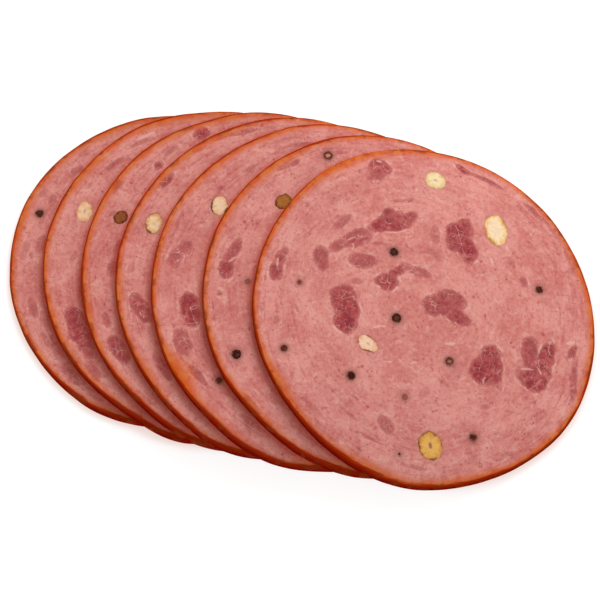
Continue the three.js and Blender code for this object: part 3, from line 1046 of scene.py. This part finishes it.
@dataclass(frozen=True)
class MeatFinish:
    """The cut face and smoked rim of a slice."""

    groups: SharedGroups
    pink: Colour = tint(226, 151, 141)
    rose: Colour = tint(212, 129, 121)
    pale: Colour = tint(234, 171, 158)
    lean: Colour = tint(176, 80, 82)
    lean_deep: Colour = tint(148, 60, 67)
    fat: Colour = tint(240, 192, 176)
    speck: Colour = tint(120, 44, 42)
    breath: Colour = tint(150, 100, 92)
    # Painted reddish shade where the slices above overlap
    juice: Colour = tint(214, 84, 62)
    orange: Colour = tint(212, 94, 36)
    honey: Colour = tint(216, 116, 54)
    amber: Colour = tint(166, 52, 12)
    bark: Colour = tint(146, 34, 10)
    # Darkest wall colour: the smoked casing at the wall's lower edge, with painted shade
    char: Colour = tint(120, 18, 6)
    scorch: Colour = tint(140, 54, 26)

    def material(self) -> bpy.types.Material:
        """Builds the material from the values stored at a slice's points.

        Returns:
            The material.
        """
        material, graph, surface = new_material("smoked_ham", self.pink)
        place, flow = graph.stored("grain", "Vector"), graph.stored("flow", "Vector")
        colour, texture = self.ground_meat(graph, place, flow)
        colour, lean = self.with_lean(graph, colour, place)
        colour = self.with_flecks(graph, colour, place)
        # Dark breath round the peppercorns, and painted shade round the nuts
        colour = graph.mix(graph.scaled(graph.stored("stain"), 0.75), colour, self.breath)
        # Painted reddish shade beside the rims of the slices above: strong within 2.6 mm of them, faint out
        # to 14 mm
        bare = graph.stored("bare")
        close, wide = graph.step(bare, 2.6, 0.0, 0.0, 0.6), graph.step(bare, 14.0, 0.0, 0.0, 0.05)
        colour = graph.mix(graph.math("ADD", close, wide), colour, self.juice)
        colour, rim = self.with_smoke(graph, colour, place, flow)
        rough = graph.math("MULTIPLY_ADD", rim, -0.1, graph.scaled(texture, 0.35, -1.6))
        height = graph.math("MULTIPLY_ADD", lean, -0.2, texture)
        graph.fill(surface, {"Base Color": colour, "Roughness": rough, "Specular IOR Level": 0.0,
                             "Subsurface Weight": 0.25, "Subsurface Radius": (1.0, 0.25, 0.15),
                             "Subsurface Scale": 2.0 * METRES, "Normal": graph.bump(height, 0.2, 0.7)})
        return material

    def ground_meat(self, graph: Graph, place: Value, flow: Value
                    ) -> tuple[bpy.types.NodeSocket, bpy.types.NodeSocket]:
        """The pink ground meat: cloudy patches, strands drawn out round the centre, threads and specks.

        Args:
            graph: The material's graph.
            place: Place in the slice's own frame.
            flow: The same, drawn out round the centre.

        Returns:
            The colour, and a height round zero.
        """
        clouds = graph.noise(place, 0.09, 3.0, 0.55, 0.4)
        colour = graph.mix(graph.step(clouds, 0.38, 0.62), self.pink, self.rose)
        curds = graph.noise(place, 0.34, 4.0, 0.58, 0.5)
        colour = graph.tinge(colour, self.rose, curds, 0.53, 0.7, 0.6)
        colour = graph.tinge(colour, self.pale, curds, 0.47, 0.3, 0.6)
        strands = graph.noise(flow, 0.36, 4.0, 0.6, 0.5)
        colour = graph.tinge(colour, self.pale, strands, 0.5, 0.68, 0.22)
        outer = graph.step(graph.stored("skin"), 20.0, 3.0)
        mottle = graph.noise(graph.shift(place, (40.0, 2.0, 8.0)), 0.22, 5.0, 0.62, 0.4)
        for pattern, low, high, more, least in ((strands, 0.48, 0.34, 0.28, 0.14),
                                                (mottle, 0.52, 0.66, 0.17, 0.1)):
            strength = graph.math("MULTIPLY_ADD", outer, more, least)
            shown = graph.math("MULTIPLY", graph.step(pattern, low, high), strength)
            colour = graph.mix(shown, colour, self.lean)
        shreds = graph.noise(graph.shift(place, (12.0, 4.0, 3.0)), 0.62, 3.0, 0.55, 0.6)
        colour = graph.tinge(colour, self.lean, shreds, 0.6, 0.72, 0.6)
        grain = graph.place_group(self.groups.grain, Place=place, Scale=0.9, Fineness=2.8).outputs["Value"]
        colour = graph.tinge(colour, self.lean, grain, 0.02, 0.26, 0.45)
        colour = graph.tinge(colour, self.pale, grain, -0.02, -0.26, 0.4)
        ridge = graph.math("ABSOLUTE", graph.scaled(graph.noise(flow, 0.2, 3.0, 0.5, 1.2), 1.0, 0.5), 0.0)
        patches = graph.step(graph.noise(graph.shift(place, (30.0, 9.0, 4.0)), 0.12), 0.5, 0.64)
        threads = graph.math("MULTIPLY", graph.step(ridge, 0.003, 0.014, 1.0, 0.0), patches)
        colour = graph.mix(graph.scaled(threads, 0.4), colour, self.fat)
        web = graph.place_group(self.groups.web, Place=graph.shift(place, (3.0, 5.0, 2.0)), Scale=0.16,
                                Width=0.02, Cover=0.4)
        colour = graph.mix(graph.scaled(web.outputs["Mask"], 0.4), colour, self.fat)
        for offset, scale, size, share, colour_of_dot, strength in (
                ((0.0, 0.0, 0.0), 0.5, 0.15, 0.32, self.speck, 0.7),
                ((7.0, 3.0, 1.0), 0.25, 0.17, 0.3, self.lean, 0.7),
                ((3.0, 8.0, 2.0), 0.9, 0.2, 0.25, self.lean_deep, 0.4),
                ((5.0, 1.0, 6.0), 0.4, 0.12, 0.25, self.fat, 0.55)):
            dots = graph.place_group(self.groups.specks, Place=graph.shift(place, offset), Scale=scale,
                                     Size=size, Share=share)
            colour = graph.mix(graph.scaled(dots.outputs["Mask"], strength), colour, colour_of_dot)
        return colour, graph.math("ADD", graph.scaled(strands, 0.8, 0.5), graph.scaled(grain, 0.7))

    def with_lean(self, graph: Graph, colour: Value, place: Value
                  ) -> tuple[bpy.types.NodeSocket, bpy.types.NodeSocket]:
        """Lays the lean pieces over the ground meat, with soft edges and a web of pale veins inside.

        Args:
            graph: The material's graph.
            colour: Colour of the ground meat.
            place: Place in the slice's own frame.

        Returns:
            The colour, and where the lean is.
        """
        uneven = graph.scaled(graph.noise(place, 1.3, 4.0, 0.6), 0.9, 0.5)
        depth = graph.math("ADD", graph.stored("lean"), uneven)
        mask = graph.math("MULTIPLY", graph.step(depth, -0.5, 0.45), graph.stored("tone"))
        muscle = graph.noise(graph.shift(place, (4.0, 2.0, 9.0)), 0.5, 4.0, 0.62, 0.6)
        flesh = graph.mix(graph.step(muscle, 0.36, 0.6), self.lean_deep, self.lean)
        flesh = graph.tinge(flesh, self.rose, muscle, 0.56, 0.74, 0.7)
        flesh = graph.tinge(flesh, self.rose, depth, 1.4, 0.1, 0.35)
        fine = graph.place_group(self.groups.web, Place=place, Scale=0.5, Width=0.045, Cover=0.5)
        flesh = graph.mix(graph.scaled(fine.outputs["Mask"], 0.42), flesh, self.pale)
        wide = graph.place_group(self.groups.web, Place=graph.shift(place, (9.0, 2.0, 0.0)), Scale=0.3,
                                 Width=0.03, Cover=0.48)
        flesh = graph.mix(graph.scaled(wide.outputs["Mask"], 0.6), flesh, self.fat)
        colour = graph.mix(mask, colour, flesh)
        border = graph.math("MULTIPLY", graph.step(depth, -1.0, -0.4), graph.step(depth, 0.3, -0.3))
        patchy = graph.step(graph.noise(graph.shift(place, (6.0, 6.0, 1.0)), 0.4), 0.5, 0.66, 0.0, 0.5)
        border = graph.math("MULTIPLY", graph.math("MULTIPLY", border, patchy), graph.stored("tone"))
        return graph.mix(border, colour, self.fat), mask

    def with_flecks(self, graph: Graph, colour: Value, place: Value) -> bpy.types.NodeSocket:
        """Lays the pale flecks of fat over the meat."""
        ragged = graph.scaled(graph.noise(place, 1.1, 4.0), 0.9, 0.52)
        mask = graph.step(graph.math("ADD", graph.stored("fleck"), ragged), -0.1, 0.12)
        return graph.mix(graph.scaled(mask, 0.5), colour, self.fat)

    def with_smoke(self, graph: Graph, colour: Value, place: Value, flow: Value
                   ) -> tuple[bpy.types.NodeSocket, bpy.types.NodeSocket]:
        """Stains the rim: orange that fades inward, amber to char down the wall, partly painted shade, and
        brown scorches.

        Args:
            graph: The material's graph.
            colour: Colour of the cut face.
            place: Place in the slice's own frame.
            flow: The same, drawn out round the centre.

        Returns:
            The colour, and how much of it is smoke.
        """
        skin = graph.stored("skin")
        wobble = graph.scaled(graph.noise(place, 0.4, 4.0, 0.6), 1.4, 0.5)
        inward = graph.math("DIVIDE", graph.math("ADD", skin, wobble), graph.stored("bleed"))
        amount = graph.step(inward, 1.45, 0.15)
        streaks = graph.noise(flow, 0.5, 4.0, 0.6, 0.3)
        streaky = graph.math("ADD", skin, graph.scaled(streaks, 1.8, 0.5))
        edge = graph.math("SUBTRACT", streaky, graph.stored("crust"))
        honey = graph.step(graph.noise(graph.shift(place, (8.0, 8.0, 4.0)), 0.3, 3.0), 0.4, 0.62)
        stain = graph.tinge(graph.mix(honey, self.orange, self.honey), self.amber, edge, 0.75, -0.3)
        smoked = graph.mix(amount, colour, stain)
        # Down the wall the colour goes amber, bark, then char: the smoked casing, with painted shade toward
        # the lower edge
        wall = graph.tinge(self.amber, self.bark, edge, 0.0, -0.9)
        wall = graph.tinge(wall, self.char, edge, -0.9, -2.2)
        on_wall = graph.step(edge, 0.3, -0.2)
        both = graph.mix(on_wall, smoked, wall)
        rim = graph.math("MAXIMUM", amount, on_wall)
        burnt = graph.noise(graph.shift(place, (2.0, 5.0, 3.0)), 0.22, 4.0, 0.62)
        scorch = graph.math("MULTIPLY", graph.step(burnt, 0.5, 0.62, 0.0, 0.8), graph.step(skin, 2.2, 0.3))
        return graph.mix(scorch, both, self.scorch), rim


@dataclass(frozen=True)
class KernelFinish:
    """The dull cut face of a pistachio kernel, with its thin skin."""

    groups: SharedGroups
    kernel: Kernel
    # Painted shade in the slit between the kernel's halves
    hollow: Colour = tint(66, 26, 8)

    def material(self) -> bpy.types.Material:
        """Builds the material: a pale middle, a darker flesh towards the rim, creases, a thin skin and
        painted shade in the slit.

        Returns:
            The material.
        """
        middle, flesh, skin = self.kernel.value
        material, graph, surface = new_material(f"pistachio_{self.kernel.name.lower()}", middle)
        place, spoke = graph.stored("grain", "Vector"), graph.stored("spoke", "Vector")
        radial = graph.stored("radial")
        grain = graph.place_group(self.groups.grain, Place=place, Scale=0.7, Fineness=2.6).outputs["Value"]
        creases = graph.noise(spoke, 1.3, 4.0, 0.6, 0.3)
        creased = graph.math("ADD", radial, graph.scaled(creases, 0.9, 0.5))
        uneven = graph.math("MULTIPLY_ADD", grain, 0.9, creased)
        colour = graph.tinge(middle, flesh, uneven, 0.45, 0.95)
        colour = graph.tinge(colour, flesh, grain, 0.0, 0.25, 0.4)
        colour = graph.tinge(colour, skin, creases, 0.57, 0.7, 0.3)
        colour = graph.tinge(colour, middle, creases, 0.45, 0.3, 0.5)
        dots = graph.place_group(self.groups.specks, Place=place, Scale=0.9, Size=0.2, Share=0.2)
        colour = graph.mix(graph.scaled(dots.outputs["Mask"], 0.3), colour, skin)
        width = graph.scaled(graph.noise(graph.shift(spoke, (3.0, 3.0, 3.0)), 0.5, 3.0), 0.8, 0.52)
        outward = graph.math("ADD", graph.math("ADD", radial, width), graph.scaled(grain, 0.2))
        colour = graph.tinge(colour, skin, outward, 0.78, 1.0, 0.92)
        # Painted shade in the slit between the halves
        colour = graph.mix(graph.scaled(graph.stored("slit"), 0.92), colour, self.hollow)
        height = graph.math("MULTIPLY_ADD", creases, 0.8, grain)
        graph.fill(surface, {"Base Color": colour, "Roughness": graph.scaled(grain, 0.4, -1.4),
                             "Specular IOR Level": 0.12, "Subsurface Weight": 0.15,
                             "Subsurface Radius": (1.0, 0.7, 0.4), "Subsurface Scale": 0.8 * METRES,
                             "Normal": graph.bump(height, 0.16, 0.8)})
        return material


@dataclass(frozen=True)
class CornFinish:
    """A dark mottled peppercorn whose middle can be paler."""

    groups: SharedGroups
    corn: Corn
    husk: Colour = tint(62, 24, 16)
    mottle: Colour = tint(104, 74, 56)
    brown: Colour = tint(134, 66, 42)
    core: Colour = tint(200, 138, 114)
    margin: Colour = tint(172, 96, 86)
    faint: Colour = tint(200, 124, 115)

    def material(self) -> bpy.types.Material:
        """Builds the material: a mottled husk, a paler core inside it and a faded margin round it.

        Returns:
            The material.
        """
        shares = (self.corn.core, self.corn.brown, self.corn.fade)
        name = "_".join(["peppercorn", *(str(round(100 * share)) for share in shares)])
        material, graph, surface = new_material(name, self.husk)
        place, radial = graph.stored("grain", "Vector"), graph.stored("radial")
        grain = graph.place_group(self.groups.grain, Place=place, Scale=1.0, Fineness=2.2).outputs["Value"]
        colour = graph.tinge(self.husk, self.mottle, grain, 0.0, 0.25, 0.8)
        browned = graph.step(grain, -0.3, 0.3, 0.75 * self.corn.brown, self.corn.brown)
        colour = graph.mix(browned, colour, self.brown)
        ragged = graph.math("MULTIPLY_ADD", grain, 0.8, radial)
        middle = graph.step(ragged, 0.2, 0.6, 1.0, 0.0)
        colour = graph.mix(graph.scaled(middle, self.corn.core), colour, self.core)
        margin = self.margin if self.corn.fade > 0.3 else self.faint
        colour = graph.tinge(colour, margin, ragged, self.corn.fade, self.corn.fade + 0.4, 0.9)
        graph.fill(surface, {"Base Color": colour, "Roughness": graph.scaled(grain, 0.4, -1.6),
                             "Specular IOR Level": 0.05, "Normal": graph.bump(grain, 0.15, 0.8)})
        return material


# ---------------------------------------------------------------------------------------------
# Studio
# ---------------------------------------------------------------------------------------------


@dataclass
class Studio:
    """A pale lit table, soft light all round with a broad key from the far side, and the camera.

    Attributes:
        floor_side: Side of the square table in metres.
        floor_glow: How bright the table shines by itself.
        sky: Brightness of the light all round.
        key_watts: Power of the key light.
        key_side: Side of the square key light in metres.
        key_place: Where the key light is, in metres.
        aim: What the camera looks at, in metres.
        heading: How far the camera is turned to the right of straight on, in degrees.
        elevation: How steeply it looks down, in degrees.
        distance: How far it is away, in metres.
        lens: Its focal length on a 36 mm sensor.
    """

    floor_side: float = 6.0
    floor_glow: float = 0.84
    sky: float = 0.82
    key_watts: float = 15.6
    key_side: float = 0.8
    key_place: tuple[float, float, float] = (0.2, 1.0, 1.1)
    aim: tuple[float, float, float] = (0.0, -0.001, 0.0)
    heading: float = 14.0
    elevation: float = 70.7
    distance: float = 0.696
    lens: float = 130.0

    def build(self) -> None:
        """Makes the table, the lights and the camera."""
        bpy.context.scene.view_settings.view_transform = "Standard"
        self.build_floor()
        self.build_lights()
        self.build_camera()

    def build_floor(self) -> None:
        """Makes a large square table just under the ham, lit from within, with a painted warm shade close to
        it.
        """
        half = self.floor_side / 2
        mesh = bpy.data.meshes.new("table")
        corners = [(-half, -half, 0), (half, -half, 0), (half, half, 0), (-half, half, 0)]
        mesh.from_pydata(corners, [], [(0, 1, 2, 3)])
        floor = bpy.data.objects.new("table", mesh)
        bpy.context.scene.collection.objects.link(floor)
        material, graph, surface = new_material("lit_table", (0.9, 0.9, 0.9, 1.0))
        # Painted warm shade on the table near the ham, set by ambient occlusion in the colour of the table's
        # glow
        shade = graph.node("ShaderNodeAmbientOcclusion")
        shade.inputs["Distance"].default_value = 6.0 * METRES
        glow_with_painted_shade = graph.tinge((0.87, 0.7, 0.65, 1.0), (1.0, 0.995, 0.99, 1.0), shade.outputs["AO"], 0.55, 0.88)
        place = graph.node("ShaderNodeTexCoord").outputs["Object"]
        uneven = graph.step(graph.noise(place, 30.0, 3.0), 0.3, 0.7, 0.6, 0.75)
        graph.fill(surface, {"Base Color": (0.25, 0.242, 0.238, 1.0), "Emission Color": glow_with_painted_shade,
                             "Emission Strength": self.floor_glow, "Roughness": uneven,
                             "Specular IOR Level": 0.1})
        mesh.materials.append(material)

    def build_lights(self) -> None:
        """Makes the even light all round and the key light."""
        world = bpy.data.worlds.new("soft_sky")
        world.use_nodes = True
        background = world.node_tree.nodes["Background"]
        background.inputs["Color"].default_value = (1.0, 1.0, 1.0, 1.0)
        background.inputs["Strength"].default_value = self.sky
        bpy.context.scene.world = world
        light = bpy.data.lights.new("key", "AREA")
        light.energy = self.key_watts
        light.size = self.key_side
        key = bpy.data.objects.new("key", light)
        key.location = self.key_place
        key.rotation_euler = Vector(self.key_place).to_track_quat("Z", "Y").to_euler()
        bpy.context.scene.collection.objects.link(key)

    def build_camera(self) -> None:
        """Makes the camera, which looks down on the fan from the near right."""
        turn, lift = math.radians(self.heading), math.radians(self.elevation)
        away = Vector((math.sin(turn) * math.cos(lift), -math.cos(turn) * math.cos(lift), math.sin(lift)))
        lens = bpy.data.cameras.new("camera")
        lens.lens = self.lens
        camera = bpy.data.objects.new("camera", lens)
        camera.location = Vector(self.aim) + self.distance * away
        camera.rotation_euler = away.to_track_quat("Z", "Y").to_euler()
        bpy.context.scene.collection.objects.link(camera)
        bpy.context.scene.camera = camera


# ---------------------------------------------------------------------------------------------
# The fan
# ---------------------------------------------------------------------------------------------


@dataclass
class HamFan:
    """All the slices with what is set in them, taken from the frame's boxes.

    Attributes:
        nodes: Names of the frame's nodes.
        groups: The shared node groups.
        slices: The slices, lowest first.
    """

    nodes: list[str]
    groups: SharedGroups
    slices: list[HamSlice] = field(default_factory=list)

    def lay_out(self) -> None:
        """Reads each slice's centre and radius, and the place of what is set in it, from the frame."""
        count = sum(name.startswith("slice_") for name in self.nodes)
        low, high = self.box("slice_1")
        thickness = high[2] - low[2]
        for number in range(1, count + 1):
            low, high = self.box(f"slice_{number}")
            x, y, _ = (low + high) / 2
            host = HamSlice(number, x, y, (high[0] - low[0]) / 2, thickness, list(self.slices))
            if number == count:
                host.rings, host.segments = 112, 620
            self.slices.append(host)
        for host in self.slices:
            host.upper = self.slices[host.number:]
        for name in self.nodes:
            if name in NUTS or name in CORNS:
                host = self.slices[int(name.split("_")[1]) - 1]
                host.seats.append(self.seat(name, host))

    def seat(self, name: str, host: HamSlice) -> Seat:
        """Finds the seat of a nut or peppercorn.

        Args:
            name: The node's name.
            host: The slice that it is set in.

        Returns:
            Its seat: at the middle of its box, with a nut's own size, or the box's for a peppercorn.
        """
        low, high = self.box(name)
        x, y = ((low + high) / 2)[:2] - (host.x, host.y)
        if name in NUTS:
            return Seat(name, x, y, NUTS[name].length / 2, NUTS[name].width / 2, NUTS[name].turn)
        radius = (high[0] - low[0]) / 2
        return Seat(name, x, y, radius, radius, 0.0)

    @staticmethod
    def box(node: str) -> tuple[Array, Array]:
        """A node's lowest and highest corners in millimetres."""
        low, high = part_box(node)
        return np.array(low) / METRES, np.array(high) / METRES

    def build(self) -> None:
        """Makes and dresses every slice, nut and peppercorn."""
        meat = MeatFinish(self.groups).material()
        kernels = {kernel: KernelFinish(self.groups, kernel).material() for kernel in Kernel}
        husks = {corn: CornFinish(self.groups, corn).material() for corn in dict.fromkeys(CORNS.values())}
        for host in self.slices:
            self.place(host.build(), meat, f"slice_{host.number}", "cured_meat")
            for seat in host.seats:
                if seat.name in NUTS:
                    nut = NUTS[seat.name]
                    plug = KernelPlug(f"kernel_of_{seat.name}", seat, host, nut)
                    self.place(plug.build(), kernels[nut.kernel], seat.name, "pistachio")
                else:
                    corn = CORNS[seat.name]
                    ball = CutCorn(f"cut_{seat.name}", seat, host, corn)
                    self.place(ball.build(), husks[corn], seat.name, "peppercorn")

    @staticmethod
    def place(piece: bpy.types.Object, material: bpy.types.Material, node: str, slot: str) -> None:
        """Dresses a piece and lets it stand for its node."""
        piece.data.materials.append(material)
        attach(piece, BODY)
        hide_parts(node)
        LOG.info("%s: %d faces, stands for %s", piece.name, len(piece.data.polygons), node)


def main() -> None:
    """Loads the frame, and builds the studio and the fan."""
    logging.basicConfig(level=logging.INFO, format="%(name)s: %(message)s")
    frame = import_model()
    Studio().build()
    fan = HamFan(sorted(frame["nodes"]), SharedGroups(speck_group(), grain_group(), web_group()))
    fan.lay_out()
    fan.build()


if __name__ == "__main__":
    main()
